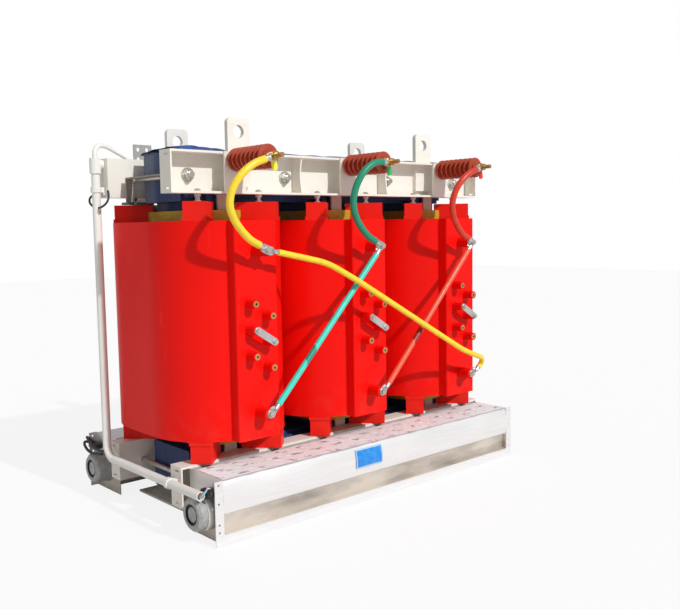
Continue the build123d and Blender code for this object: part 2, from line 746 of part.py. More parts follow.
def end_plate(side):
    """End plate with a front flange, four flange holes and the shaft hole."""
    inner = blower_half_length - blower_end_wall
    plate = block((inner, blower_half_length), (-blower_front, -blower_back),
                  (blower_bottom, blower_top))
    shape = plate - along_x(shaft_hole_radius, inner, blower_half_length, -fan_y, fan_z)
    flange = block((blower_half_length, blower_half_length + end_flange_width),
                   (-blower_front, -blower_front + blower_end_wall), (blower_bottom, blower_top))
    shape = shape + flange
    hole_x = blower_half_length + end_flange_width / 2
    for drop in end_flange_hole_drops:
        shape = shape - along_y(end_flange_hole_radius, -blower_front,
                                -blower_front + blower_end_wall, hole_x, blower_top - drop)
    return shape if side > 0 else mirror(shape, about=Plane.YZ)


def impeller():
    """Cross-flow impeller: curved blades between three discs on two shaft ends."""
    half = blower_half_length - blower_end_wall - fan_end_gap
    inner = fan_radius - fan_blade_depth
    mid, lean = (fan_radius + inner) / 2, math.radians(4)
    arc = ThreePointArc((inner, 0), (mid * math.cos(lean), mid * math.sin(lean) - 1.2),
                        (fan_radius - 1, 6))
    far = 2 * half - 2 * fan_disc_thick
    blade = extrude(trace(arc, blade_thick), far)
    blades = [Rot(0, 0, 360 * index / blade_count) * blade for index in range(blade_count)]
    shape = Pos(0, 0, -fan_disc_thick) * extrude(Circle(fan_radius), fan_disc_thick)
    shape = shape.fuse(*blades, Pos(0, 0, far) * extrude(Circle(fan_radius), fan_disc_thick))
    ring = Circle(fan_radius) - Circle(inner - fan_ring_lap)
    shape = shape + Pos(0, 0, far / 2) * extrude(ring, fan_disc_thick)
    shape = shape + Pos(0, 0, -fan_disc_thick - shaft_end / 2) * Cylinder(fan_shaft_radius, shaft_end)
    shape = shape + Pos(0, 0, far + fan_disc_thick + shaft_end / 2) * Cylinder(
        fan_shaft_radius, shaft_end)
    return Pos(-half + fan_disc_thick, -fan_y, fan_z) * Rot(0, 90, 0) * shape


def motor():
    """Disc motor on the left end plate, with a raised rim round its cover."""
    bore = fan_shaft_radius + motor_shaft_clearance
    foot_radius, foot = motor_radius + motor_foot_rim, motor_foot_thick
    cover = motor_length - motor_cover_sink
    profile = make_face(Polyline((bore, 0), (foot_radius, 0), (foot_radius, foot),
                                 (motor_radius, foot), (motor_radius, motor_length - motor_bevel),
                                 (motor_radius - motor_bevel, motor_length),
                                 (motor_cover_radius, motor_length), (motor_cover_radius, cover),
                                 (0, cover), (0, motor_bore_depth), (bore, motor_bore_depth),
                                 close=True))
    turned = revolve(Plane.XZ * profile, Axis.Z)
    return Pos(-blower_half_length, -fan_y, fan_z) * Rot(0, -90, 0) * turned


def bearing():
    """Flanged bearing that carries the impeller's right shaft end."""
    bore = fan_shaft_radius + motor_shaft_clearance
    ring = extrude(Circle(bearing_radius) - Circle(bore), bearing_length)
    return Pos(blower_half_length, -fan_y, fan_z) * Rot(0, 90, 0) * ring


def build_blowers():
    casing = [sheet_run(blower_section()), sheet_run(guide_section())]
    ends = [end_plate(-1), end_plate(1)]
    wheel, drive, support = impeller(), motor(), bearing()
    for side in ("front", "rear"):
        turn = (lambda shape: shape) if side == "front" else mirrored
        save(f"{side}_blower_casing", [turn(shape) for shape in casing])
        save(f"{side}_blower_ends", [turn(shape) for shape in ends])
        save(f"{side}_impeller", [turn(wheel)])
        save(f"{side}_motor", [turn(drive)])
    save("fan_bearings", [support, mirrored(support)])


# ---- conduit and end press bar ----
def pipe_clip(y, z, upright):
    """Ring clip round the conduit with a foot on the clamp's end plate."""
    outer = conduit_radius + clip_gap + clip_wall
    ring = Circle(outer) - Circle(conduit_radius + clip_gap)
    band = extrude(ring, clip_half_width, both=True)
    foot_start = outer - clip_wall
    foot = Pos((conduit_gap + foot_start) / 2, 0, 0) * Box(
        conduit_gap - foot_start, clip_foot_width, 2 * clip_half_width)
    body = band + foot
    turn = Rot(0, 0, 0) if upright else Rot(90, 0, 0)
    return Pos(conduit_x, y, z) * turn * body


def build_conduit():
    path = FilletPolyline((conduit_x, conduit_front_y, conduit_z), (conduit_x, riser_y, conduit_z),
                          (conduit_x, riser_y, riser_top), radius=elbow_radius)
    start = Plane(origin=path @ 0, z_dir=path % 0)
    pipe = sweep(start * (Circle(conduit_radius) - Circle(conduit_radius - conduit_wall)), path=path)
    low, high = riser_top - tee_socket, riser_top + tee_height
    tee = Pos(conduit_x, riser_y, (low + high) / 2) * Cylinder(
        conduit_radius + tee_wall, high - low)
    tee = tee - Pos(conduit_x, riser_y, (low + riser_top) / 2) * Cylinder(conduit_radius, tee_socket)
    branch = along_x(conduit_radius + branch_wall, conduit_x, -clamp_half_length, riser_y,
                     riser_top + tee_height / 2)
    save("conduit", [pipe])
    save("conduit_tee", [tee + branch])
    middle_y = (web_front_y + flange_y) / 2
    clips = [pipe_clip(-middle_y, conduit_z, False),
             pipe_clip(riser_y, top_clamp_z + riser_clip_rise, True)]
    save("conduit_clips", clips)
    sensor_points = [(conduit_x + dx, riser_y + dy, high + dz) for dx, dy, dz in sensor_bends]
    save("sensor_tube", [tube("sensor_tube", sensor_points, sensor_tube_radius)])


def build_press_bar():
    outer_x = coil_x[0] - press_bar_x
    drop_y = press_corner_y - press_bar_thick
    under = press_level - press_bar_thick
    outline = Polyline((-web_y, press_level), (press_corner_y, press_level),
                       (press_corner_y, foot_top), (drop_y, foot_top), (drop_y, under),
                       (-web_y, under), close=True)
    bar = Pos(outer_x, 0, 0) * extrude(Plane.YZ * make_face(outline), press_bar_width)
    foot = block((outer_x - press_foot_lap, coil_x[0] - press_foot_x),
                 (press_corner_y - press_foot_depth, web_y - press_foot_inset),
                 (top_pad_top, foot_top))
    save("press_bar", [bar])
    save("press_foot", [foot])


os.makedirs("parts", exist_ok=True)
build_core()
build_windings()
build_pads()
build_frame()
build_screws()
build_hv()
build_taps()
build_lv()
build_blowers()
build_conduit()
build_press_bar()
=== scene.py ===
import math
import bpy
import numpy as np
from mathutils import Matrix, Vector


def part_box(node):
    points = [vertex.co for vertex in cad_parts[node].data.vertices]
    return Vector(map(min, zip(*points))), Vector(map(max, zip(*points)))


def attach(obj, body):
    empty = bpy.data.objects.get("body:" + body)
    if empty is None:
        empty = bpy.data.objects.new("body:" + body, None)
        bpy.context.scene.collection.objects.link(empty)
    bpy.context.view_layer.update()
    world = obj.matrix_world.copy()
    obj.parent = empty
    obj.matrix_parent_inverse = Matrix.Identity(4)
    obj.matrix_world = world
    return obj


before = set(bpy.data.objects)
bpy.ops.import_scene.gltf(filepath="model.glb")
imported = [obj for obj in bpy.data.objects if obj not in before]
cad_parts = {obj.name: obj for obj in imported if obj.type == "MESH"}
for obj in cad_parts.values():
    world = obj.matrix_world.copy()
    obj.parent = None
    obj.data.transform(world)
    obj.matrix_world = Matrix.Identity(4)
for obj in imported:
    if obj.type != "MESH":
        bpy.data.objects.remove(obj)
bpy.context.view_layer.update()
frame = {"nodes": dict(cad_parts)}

nodes = frame["nodes"]
print("frame loaded:", len(nodes), "nodes")


# a node tree; one method makes any node from its type, its settings and its inputs
class Nodes:
    def __init__(self, tree):
        self.tree = tree

    def node(self, kind, settings, inputs):
        made = self.tree.nodes.new(kind)
        for key, value in settings.items():
            setattr(made, key, value)
        for key, value in inputs.items():
            if isinstance(value, Value):
                self.tree.links.new(value.socket, made.inputs[key])
            else:
                made.inputs[key].default_value = value
        return [Value(self, output) for output in made.outputs]


# one socket, with the operators that build Math nodes
class Value:
    def __init__(self, nodes, socket):
        self.nodes = nodes
        self.socket = socket

    def math(self, operation, first, second=None):
        inputs = {0: first}
        if second is not None:
            inputs[1] = second
        return self.nodes.node("ShaderNodeMath", {"operation": operation}, inputs)[0]

    def __add__(self, other):
        return self.math("ADD", self, other)

    def __radd__(self, other):
        return self.math("ADD", other, self)

    def __sub__(self, other):
        return self.math("SUBTRACT", self, other)

    def __rsub__(self, other):
        return self.math("SUBTRACT", other, self)

    def __mul__(self, other):
        return self.math("MULTIPLY", self, other)

    def __rmul__(self, other):
        return self.math("MULTIPLY", other, self)

    def __truediv__(self, other):
        return self.math("DIVIDE", self, other)

    def __rtruediv__(self, other):
        return self.math("DIVIDE", other, self)

    def __gt__(self, other):
        return self.math("GREATER_THAN", self, other)

    def __lt__(self, other):
        return self.math("LESS_THAN", self, other)

    def __abs__(self):
        return self.math("ABSOLUTE", self)

    def sin(self):
        return self.math("SINE", self)

    def root(self):
        return self.math("SQRT", self)

    def most(self, other):
        return self.math("MAXIMUM", self, other)

    def clamp(self):
        return self.math("MINIMUM", self.most(0.0), 1.0)


# one material with its principled shader
class Paint(Nodes):
    def __init__(self, name, **constants):
        self.material = bpy.data.materials.new(name)
        self.material.use_nodes = True
        super().__init__(self.material.node_tree)
        self.shader = self.tree.nodes["Principled BSDF"]
        for socket, value in constants.items():
            self.shader.inputs[socket.replace("_", " ")].default_value = value
        self.place = self.node("ShaderNodeTexCoord", {}, {})[3]  # Object coordinates
        self.x, self.y, self.z = self.node("ShaderNodeSeparateXYZ", {}, {0: self.place})

    def noise(self, scale, detail=4.0, stretch=None):
        place = self.place
        if stretch:
            place = self.node("ShaderNodeMapping", {}, {"Vector": place, "Scale": stretch})[0]
        inputs = {"Vector": place, "Scale": scale, "Detail": detail, "Roughness": 0.55}
        return self.node("ShaderNodeTexNoise", {}, inputs)[0]

    def between(self, value, low, high):
        inputs = {"Value": value, "From Min": low, "From Max": high}
        return self.node("ShaderNodeMapRange", {"clamp": True}, inputs)[0]

    def mixColour(self, mask, first, second):
        inputs = {0: mask}
        for socket, colour in ((6, first), (7, second)):
            inputs[socket] = colour if isinstance(colour, Value) else (*colour, 1.0)
        return self.node("ShaderNodeMix", {"data_type": "RGBA"}, inputs)[2]

    def normalParts(self):
        normal = self.node("ShaderNodeNewGeometry", {}, {})[1]
        return self.node("ShaderNodeSeparateXYZ", {}, {0: normal})

    def use(self, socket, value):
        if isinstance(value, Value):
            self.tree.links.new(value.socket, self.shader.inputs[socket])
        else:
            self.shader.inputs[socket].default_value = (*value, 1.0)

    def bump(self, height, distance):
        inputs = {"Strength": 1.0, "Distance": distance, "Height": height}
        self.use("Normal", self.node("ShaderNodeBump", {}, inputs)[0])


# painted or moulded finish: dirt in clouds and specks, orange peel
coating = {"clouds": 5.0, "specks": 90.0, "speckShare": 0.6, "cloudRough": 0.08,
           "peelScale": 260.0, "peelDepth": 0.00004}


def coat(name, base, dirt, amount, rough):
    paint = Paint(name)
    cloud = paint.between(paint.noise(coating["clouds"], 6.0), 0.35, 0.75)
    speck = paint.between(paint.noise(coating["specks"], 3.0), 0.62, 0.8)
    mask = (cloud * amount + speck * (amount * coating["speckShare"])).clamp()
    paint.use("Base Color", paint.mixColour(mask, base, dirt))
    paint.use("Roughness", rough + cloud * coating["cloudRough"])
    paint.bump(paint.noise(coating["peelScale"], 2.0), coating["peelDepth"])
    return paint


# cast resin: colour drift down the coil, flow marks, dust at the foot
resin = {"coil": (0.88, 0.006, 0.003), "pad": (0.88, 0.018, 0.010), "darker": 0.84, "specular": 0.12,
         "coilFoot": 0.314, "padFoot": 0.234,
         "dustHeight": 0.16, "dust": 0.10, "dustColour": (0.70, 0.20, 0.14),
         "scuff": 0.06, "scuffColour": (0.95, 0.35, 0.30), "rough": 0.34, "rippleDepth": 0.0012}


def resinPaint(name, base, foot):
    paint = Paint(name, Specular_IOR_Level=resin["specular"])
    drift = paint.between(paint.noise(2.2, 3.0, (1, 1, 0.35)), 0.3, 0.7)
    shade = paint.mixColour(drift, base, tuple(part * resin["darker"] for part in base))
    patches = paint.between(paint.noise(22.0, 5.0), 0.45, 0.8)
    dust = paint.between(paint.z, foot + resin["dustHeight"], foot) * patches
    shade = paint.mixColour(dust * resin["dust"], shade, resin["dustColour"])
    scuff = paint.between(paint.noise(38.0, 4.0, (1, 1, 0.12)), 0.66, 0.8)
    shade = paint.mixColour(scuff * resin["scuff"], shade, resin["scuffColour"])
    paint.use("Base Color", shade)
    paint.use("Roughness", resin["rough"] + drift * 0.08 + dust * 0.2)
    paint.bump(paint.noise(9.0, 2.0) + paint.noise(160.0, 2.0) * 0.04, resin["rippleDepth"])
    return paint


# stacked core plates in blue paint; the rear part of the upper yoke's ends is duller
core = {"darkBlue": (0.012, 0.030, 0.095), "blue": (0.035, 0.085, 0.26), "worn": (0.10, 0.13, 0.18),
        "dullDark": (0.07, 0.10, 0.16), "dull": (0.17, 0.20, 0.27), "plateWave": 2600.0,
        "endFrom": 0.60, "upperFrom": 0.9, "stripY": (0.03, 0.07), "plateDepth": 0.0008}


def corePaint():
    paint = Paint("corePlates", Specular_IOR_Level=0.4)
    line = (paint.y * core["plateWave"]).sin() * 0.5 + 0.5
    broad = paint.between(paint.noise(60.0, 2.0, (0.02, 6.0, 0.02)), 0.35, 0.7)
    blue = paint.mixColour(broad, core["darkBlue"], core["blue"])
    worn = paint.between(paint.noise(7.0, 5.0), 0.55, 0.75)
    blue = paint.mixColour(worn * 0.25, blue, core["worn"])
    facing = paint.between(abs(paint.normalParts()[0]), 0.8, 0.95)
    endFace = facing * (abs(paint.x) > core["endFrom"]) * (paint.z > core["upperFrom"])
    dull = paint.mixColour(line * 0.6 + broad * 0.4, core["dullDark"], core["dull"])
    strip = endFace * paint.between(paint.y, *core["stripY"])
    paint.use("Base Color", paint.mixColour(strip, blue, dull))
    paint.use("Roughness", 0.42 + broad * 0.15)
    paint.bump(line * 0.5 + broad, core["plateDepth"])
    return paint


# low-voltage winding: ochre resin over foil turns
winding = {"ochre": (0.66, 0.40, 0.03), "brown": (0.42, 0.25, 0.02), "turnWave": 700.0, "depth": 0.0004}


def woundPaint():
    paint = Paint("woundResin", Specular_IOR_Level=0.35)
    turns = (paint.z * winding["turnWave"]).sin() * 0.5 + 0.5
    fade = paint.between(paint.noise(14.0, 4.0), 0.35, 0.7)
    paint.use("Base Color", paint.mixColour(fade, winding["ochre"], winding["brown"]))
    paint.use("Roughness", 0.45 + fade * 0.1)
    paint.bump(turns + fade, winding["depth"])
    return paint


# brushed or plated metal: streaks stretched by the grain, soft stains
plating = {"darkPatch": 0.35, "stainDarker": 0.72, "streakRough": 0.12, "stainRough": 0.08, "depth": 0.00015}


def metalPaint(name, base, dark, rough, grain, metallic, scale=12.0):
    paint = Paint(name, Metallic=metallic)
    grainNoise = paint.noise(scale, 5.0, grain)
    streak = paint.between(grainNoise, 0.3, 0.7)
    darkPatch = paint.between(paint.noise(4.0, 5.0), 0.45, 0.75)
    stained = tuple(part * plating["stainDarker"] for part in dark)
    shade = paint.mixColour(darkPatch * plating["darkPatch"], paint.mixColour(streak, base, dark), stained)
    paint.use("Base Color", shade)
    paint.use("Roughness", rough + streak * plating["streakRough"] + darkPatch * plating["stainRough"])
    paint.bump(grainNoise, plating["depth"])
    return paint


# heat-shrunk sleeve: slow ripples, with painted shade darkening the colour along them, and on some links a
# short band in a darker tone
sleeve = {"yellow": (0.90, 0.66, 0.035), "green": (0.018, 0.26, 0.15), "red": (0.62, 0.045, 0.020),
          "teal": (0.055, 0.62, 0.50), "salmon": (0.80, 0.10, 0.045),
          "darkTeal": (0.02, 0.26, 0.20), "darkSalmon": (0.28, 0.02, 0.015),
          "tealBand": (-0.395, -0.350), "salmonBand": (0.17, 0.215),
          "rippleScale": 45.0, "rippleDepth": 0.0009, "darker": 0.75, "rough": 0.28}


def sleevePaint(name, base, band=None, bandColour=None):
    paint = Paint(name, Specular_IOR_Level=0.4)
    ripple = paint.noise(sleeve["rippleScale"], 3.0)
    # painted shade: the sleeve colour is darkened where the ripple noise that also makes the bump is high
    rippleShade = paint.between(ripple, 0.4, 0.75) * 0.5
    shade = paint.mixColour(rippleShade, base, tuple(part * sleeve["darker"] for part in base))
    if band:
        # a short band along x in a darker tone of the sleeve's own colour
        inside = (paint.x > band[0]) * (paint.x < band[1])
        shade = paint.mixColour(inside, shade, bandColour)
    paint.use("Base Color", shade)
    paint.use("Roughness", sleeve["rough"] + paint.between(ripple, 0.3, 0.7) * 0.14)
    paint.bump(ripple, sleeve["rippleDepth"])
    return paint


# warm white paint on folded steel: clouds of dirt and long smears
frameCoat = {"white": (0.83, 0.80, 0.73), "dirt": (0.68, 0.63, 0.54), "smear": (0.50, 0.44, 0.35),
             "dirtShare": 0.35, "smearShare": 0.30, "rough": 0.36, "peelDepth": 0.00006}


def clampPaint():
    paint = Paint("clampWhite", Specular_IOR_Level=0.4)
    cloud = paint.between(paint.noise(6.0, 6.0), 0.38, 0.75)
    smear = paint.between(paint.noise(16.0, 5.0, (0.25, 1, 1.4)), 0.56, 0.8)
    shade = paint.mixColour(cloud * frameCoat["dirtShare"], frameCoat["white"], frameCoat["dirt"])
    shade = paint.mixColour(smear * frameCoat["smearShare"], shade, frameCoat["smear"])
    paint.use("Base Color", shade)
    paint.use("Roughness", frameCoat["rough"] + cloud * 0.18)
    paint.bump(paint.noise(240.0, 2.0) + smear * 0.4, frameCoat["peelDepth"])
    return paint


# aluminium sheet: lengthwise brushing; the recess under the ridge painted tan, darker in noise patches
sheet = {"bright": (0.90, 0.90, 0.90), "brushed": (0.78, 0.78, 0.78), "tan": (0.62, 0.53, 0.42),
         "darkPatch": (0.26, 0.22, 0.19), "metallic": 0.55, "recessTop": (0.106, 0.098),
         "recessFront": 0.468, "tanShare": 0.7, "darkPatchShare": 0.85, "rough": 0.34, "depth": 0.00012}


def casingPaint():
    paint = Paint("casingSheet", Metallic=sheet["metallic"])
    streak = paint.between(paint.noise(9.0, 6.0, (0.5, 70, 70)), 0.3, 0.7)
    darkPatch = paint.between(paint.noise(3.2, 5.0, (1, 1, 3)), 0.45, 0.72)
    # the recess under the ridge is painted tan, and darker again in noise patches
    recess = paint.between(paint.z, *sheet["recessTop"]) * (abs(paint.y) < sheet["recessFront"])
    shade = paint.mixColour(streak, sheet["bright"], sheet["brushed"])
    shade = paint.mixColour(recess * sheet["tanShare"], shade, sheet["tan"])
    shade = paint.mixColour(darkPatch * recess * sheet["darkPatchShare"], shade, sheet["darkPatch"])
    paint.use("Base Color", shade)
    paint.use("Roughness", sheet["rough"] + streak * 0.10 + darkPatch * 0.12)
    paint.bump(streak, sheet["depth"])
    return paint


# grey motor shell with a black ring round the hub cover; the fans' axis as (y, z)
fanAxis = (0.380, 0.103)
motor = {"light": (0.42, 0.43, 0.42), "dark": (0.28, 0.29, 0.29), "ring": (0.012, 0.012, 0.012),
         "ringFrom": 0.026, "ringTo": 0.037, "coverFrom": -0.825, "rough": 0.45, "depth": 0.0002}


def motorPaint():
    paint = Paint("motorShell", Specular_IOR_Level=0.4)
    side = abs(paint.y) - fanAxis[0]
    rise = paint.z - fanAxis[1]
    radius = (side * side + rise * rise).root()
    onRing = (radius > motor["ringFrom"]) * (radius < motor["ringTo"])
    grain = paint.between(paint.noise(60.0, 4.0), 0.35, 0.7)
    shade = paint.mixColour(grain, motor["light"], motor["dark"])
    ring = onRing * (paint.x < motor["coverFrom"])
    paint.use("Base Color", paint.mixColour(ring, shade, motor["ring"]))
    paint.use("Roughness", motor["rough"] + grain * 0.12)
    paint.bump(grain, motor["depth"])
    return paint


# phase tags: yellow, green and red from left to right, bare metal at the top
tags = {"yellow": (0.90, 0.78, 0.05), "green": (0.05, 0.42, 0.12), "red": (0.75, 0.05, 0.04),
        "metal": (0.55, 0.56, 0.56), "between": (-0.3, 0.3), "metalFrom": 1.288, "depth": 0.0003}


def tagPaint():
    paint = Paint("phaseTags", Specular_IOR_Level=0.4)
    shade = paint.mixColour(paint.x > tags["between"][0], tags["yellow"], tags["green"])
    shade = paint.mixColour(paint.x > tags["between"][1], shade, tags["red"])
    shade = paint.mixColour(paint.z > tags["metalFrom"], shade, tags["metal"])
    paint.use("Base Color", shade)
    grain = paint.noise(60.0)
    paint.use("Roughness", 0.35 + paint.between(grain, 0.3, 0.7) * 0.15)
    paint.bump(grain, tags["depth"])
    return paint


coilRed = resinPaint("coilResin", resin["coil"], resin["coilFoot"])
padRed = resinPaint("padResin", resin["pad"], resin["padFoot"])
corePlates, woundResin, clampWhite = corePaint(), woundPaint(), clampPaint()
casingSheet, motorShell = casingPaint(), motorPaint()
# plain finishes: name, base colour, dirt, share of dirt, roughness
barrier = coat("barrierBoard", (0.40, 0.31, 0.16), (0.25, 0.19, 0.10), 0.6, 0.6)
tiePlate = coat("tiePlatePaint", (0.60, 0.50, 0.44), (0.42, 0.35, 0.30), 0.5, 0.45)
insulatorResin = coat("insulatorResin", (0.42, 0.055, 0.022), (0.26, 0.03, 0.014), 0.55, 0.24)
conduitWhite = coat("conduitPlastic", (0.84, 0.83, 0.79), (0.66, 0.63, 0.56), 0.4, 0.32)
barGrey = coat("pressBarPaint", (0.36, 0.31, 0.27), (0.22, 0.18, 0.15), 0.6, 0.45)
footBoard = coat("footBoard", (0.08, 0.14, 0.13), (0.05, 0.08, 0.08), 0.6, 0.5)
cableBlack = coat("cableJacket", (0.018, 0.018, 0.020), (0.05, 0.05, 0.05), 0.6, 0.42)
# metals: name, base colour, dark streaks, roughness, grain along (x, y, z), metallic, noise scale
zinc = metalPaint("zincPlate", (0.74, 0.73, 0.69), (0.50, 0.49, 0.45), 0.30, (1, 1, 1), 0.9, 40.0)
tinned = metalPaint("tinnedCopper", (0.78, 0.78, 0.77), (0.56, 0.56, 0.55), 0.28, (1, 30, 1), 0.95, 20.0)
brass = metalPaint("brassFitting", (0.72, 0.52, 0.22), (0.48, 0.33, 0.13), 0.28, (1, 1, 1), 1.0, 50.0)
bladeSheet = metalPaint("bladeSheet", (0.70, 0.70, 0.69), (0.48, 0.48, 0.47), 0.32, (1, 20, 20), 0.9)

finishes = {
    coilRed: ["hv_coil_a", "hv_coil_b", "hv_coil_c"],
    padRed: [f"{level}_pads_{phase}" for level in ("top", "bottom") for phase in "abc"],
    corePlates: ["lower_core", "upper_yoke"],
    woundResin: ["lv_winding_a", "lv_winding_b", "lv_winding_c"],
    clampWhite: ["top_clamp_front", "top_clamp_rear", "bottom_clamp_front", "bottom_clamp_rear",
                 "front_lifting_lugs", "rear_lifting_lugs", "base_channels"],
    barrier: ["barrier_tubes"],
    tiePlate: ["tie_plates"],
    zinc: ["yoke_bolts", "pressure_screws", "terminal_bolts", "tap_link_bolts"],
    tinned: ["cable_lugs", "tap_links", "lv_bar_a", "lv_bar_b", "lv_bar_c"],
    brass: ["terminal_studs", "tap_inserts"],
    insulatorResin: ["hv_insulator_a", "hv_insulator_b", "hv_insulator_c", "lv_bar_supports"],
    tagPaint(): ["phase_tags"],
    casingSheet: ["front_blower_casing", "rear_blower_casing", "front_blower_ends", "rear_blower_ends"],
    bladeSheet: ["front_impeller", "rear_impeller"],
    motorShell: ["front_motor", "rear_motor", "fan_bearings"],
    conduitWhite: ["conduit", "conduit_tee", "conduit_clips", "sensor_tube"],
    barGrey: ["press_bar"],
    footBoard: ["press_foot"],
    sleevePaint("leadYellow", sleeve["yellow"]): ["hv_lead_a"],
    sleevePaint("leadGreen", sleeve["green"]): ["hv_lead_b"],
    sleevePaint("leadRed", sleeve["red"]): ["hv_lead_c"],
    sleevePaint("linkYellow", sleeve["yellow"]): ["delta_link_a"],
    sleevePaint("linkTeal", sleeve["teal"], sleeve["tealBand"], sleeve["darkTeal"]): ["delta_link_b"],
    sleevePaint("linkSalmon", sleeve["salmon"], sleeve["salmonBand"], sleeve["darkSalmon"]): ["delta_link_c"],
}
for paint, names in finishes.items():
    for name in names:
        data = nodes[name].data
        data.materials.clear()
        data.materials.append(paint.material)
print("finishes on", sum(len(names) for names in finishes.values()), "nodes")


def addPiece(name, data):
    piece = bpy.data.objects.new(name, data)
    bpy.context.scene.collection.objects.link(piece)
    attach(piece, "transformer")
    return piece


def gridPiece(name, points, paint, closed=True):
    # a grid of points becomes quads between neighbours; closed joins the last column to the first
    rows, columns = points.shape[:2]
    index = np.arange(rows * columns).reshape(rows, columns)
    if closed:
        index = np.concatenate([index, index[:, :1]], axis=1)
    quads = np.stack([index[:-1, :-1], index[:-1, 1:], index[1:, 1:], index[1:, :-1]], axis=-1)
    mesh = bpy.data.meshes.new(name)
    mesh.from_pydata(points.reshape(-1, 3).tolist(), [], quads.reshape(-1, 4).tolist())
    mesh.shade_smooth()
    mesh.materials.append(paint.material)
    return addPiece(name, mesh)


def sheetPiece(name, top, under, paint):
    # upper and lower grids run into one ring along their long edges
    return gridPiece(name, np.concatenate([top, under[:, ::-1]], axis=1), paint)


def wirePiece(name, points, radius, paint):
    # smooth NURBS line through a listed route, given a round section
    curve = bpy.data.curves.new(name, "CURVE")
    curve.dimensions = "3D"
    curve.bevel_depth = radius
    curve.bevel_resolution = 3
    curve.use_fill_caps = True
    curve.resolution_u = 8
    spline = curve.splines.new("NURBS")
    spline.points.add(len(points) - 1)
    for point, place in zip(spline.points, points):
        point.co = (*place, 1.0)
    spline.order_u = 3
    spline.use_endpoint_u = True
    curve.materials.append(paint.material)
    return addPiece(name, curve)


def bent(wave, power):
    # a sine or cosine raised to a power, with its sign kept
    return np.sign(wave) * np.abs(wave) ** power


def roundedBlock(name, centre, half, power, paint, rows=18, columns=36):
    # an ellipsoid whose sines and cosines are bent by a low power
    v = np.linspace(-np.pi / 2, np.pi / 2, rows)[:, None]
    u = np.linspace(0, 2 * np.pi, columns, endpoint=False)[None, :]
    ring = bent(np.cos(v), power)
    x = half[0] * ring * bent(np.cos(u), power)
    y = half[1] * ring * bent(np.sin(u), power)
    z = half[2] * bent(np.sin(v), power) * np.ones_like(u)
    return gridPiece(name, np.stack([x, y, z], axis=-1) + np.array(centre), paint)


# protective film on the front blower's top plate: a sheet with shallow wrinkles and smudges
film = {"x": 0.768, "front": -0.4705, "back": -0.2995, "lift": 0.0006, "wrinkle": 0.0007,
        "thick": 0.0003, "edgeWave": 0.0012, "seamFrom": -0.4655, "light": (0.82, 0.91, 0.92),
        "grey": (0.76, 0.80, 0.81), "smudge": (0.26, 0.22, 0.28), "depth": 0.0006}


def filmPaint():
    # smudges show where noise and two slanted sets of sine bands meet
    paint = Paint("protectiveFilm", Specular_IOR_Level=0.2)
    blotch = paint.between(paint.noise(26.0, 3.0, (1.0, 2.0, 1.0)), 0.50, 0.54)
    columns = (paint.x * 62.0 + paint.y * 30.0).sin() > 0.2
    rows = (paint.y * 105.0 + paint.x * 4.0).sin() > 0.1
    seam = (paint.y < film["seamFrom"]) * 0.8
    marks = (blotch * (columns * rows)).most(seam)
    base = paint.mixColour(paint.between(paint.noise(5.0), 0.35, 0.7), film["light"], film["grey"])
    paint.use("Base Color", paint.mixColour(marks * 0.75, base, film["smudge"]))
    paint.use("Roughness", 0.42 + paint.between(paint.noise(30.0), 0.3, 0.7) * 0.14)
    paint.bump(paint.noise(70.0, 3.0), film["depth"])
    return paint


def makeFilm():
    # height = top plate + lift + wrinkles from crossed sines, weakest along the two long edges
    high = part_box("front_blower_casing")[1]
    u = np.linspace(-1, 1, 420)[:, None]
    v = np.linspace(0, 1, 40)[None, :]
    x = u * film["x"] + 0 * v
    y = film["front"] + (film["back"] - film["front"]) * v
    y = y + film["edgeWave"] * np.sin(u * 31 + np.cos(u * 17) * 2)
    wave = np.sin(x * 57 + y * 130) * np.sin(x * 23 - y * 61)
    wave = wave + 0.6 * np.sin(x * 141 + np.sin(y * 90) * 2)
    z = high.z + film["lift"] + film["wrinkle"] * (1 + wave) * (0.25 + np.sin(v * np.pi))
    top = np.stack([x, y, z], axis=-1)
    under = top - np.array([0, 0, film["thick"]])
    sheetPiece("blower_top_film", top, under, filmPaint())


# plain blue plate on the blower's front panel; the panel's own curve as offsets and heights
plate = {"x": (-0.168, -0.028), "z": (0.139, 0.212), "gap": 0.0011, "proud": 0.0012,
         "blue": (0.010, 0.20, 0.62), "lightBlue": (0.035, 0.32, 0.78), "rim": (0.62, 0.74, 0.86),
         "rimAcross": 0.04, "rimUp": 0.07, "rimShare": 0.6, "depth": 0.0001}
panel = {"topDrop": 0.001, "topBack": 0.013, "bulgeBack": 0.001, "bulgeRise": 0.018,
         "ridgeBack": 0.007, "ridgeZ": 0.110}


def panelFront(z):
    # the circle through the panel's top edge, bulge and ridge, solved for y at a height
    low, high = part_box("front_blower_casing")
    topY, topZ = low.y + panel["topBack"], high.z - panel["topDrop"]
    ridgeY, ridgeZ = low.y + panel["ridgeBack"], panel["ridgeZ"]
    bulgeY, bulgeZ = low.y + panel["bulgeBack"], (topZ + ridgeZ) / 2 + panel["bulgeRise"]
    spread = 2 * (topY * (bulgeZ - ridgeZ) + bulgeY * (ridgeZ - topZ) + ridgeY * (topZ - bulgeZ))
    top, bulge, ridge = topY ** 2 + topZ ** 2, bulgeY ** 2 + bulgeZ ** 2, ridgeY ** 2 + ridgeZ ** 2
    centreY = (top * (bulgeZ - ridgeZ) + bulge * (ridgeZ - topZ) + ridge * (topZ - bulgeZ)) / spread
    centreZ = (top * (ridgeY - bulgeY) + bulge * (topY - ridgeY) + ridge * (bulgeY - topY)) / spread
    radius = math.hypot(topY - centreY, topZ - centreZ)
    return centreY - np.sqrt(radius ** 2 - (z - centreZ) ** 2)


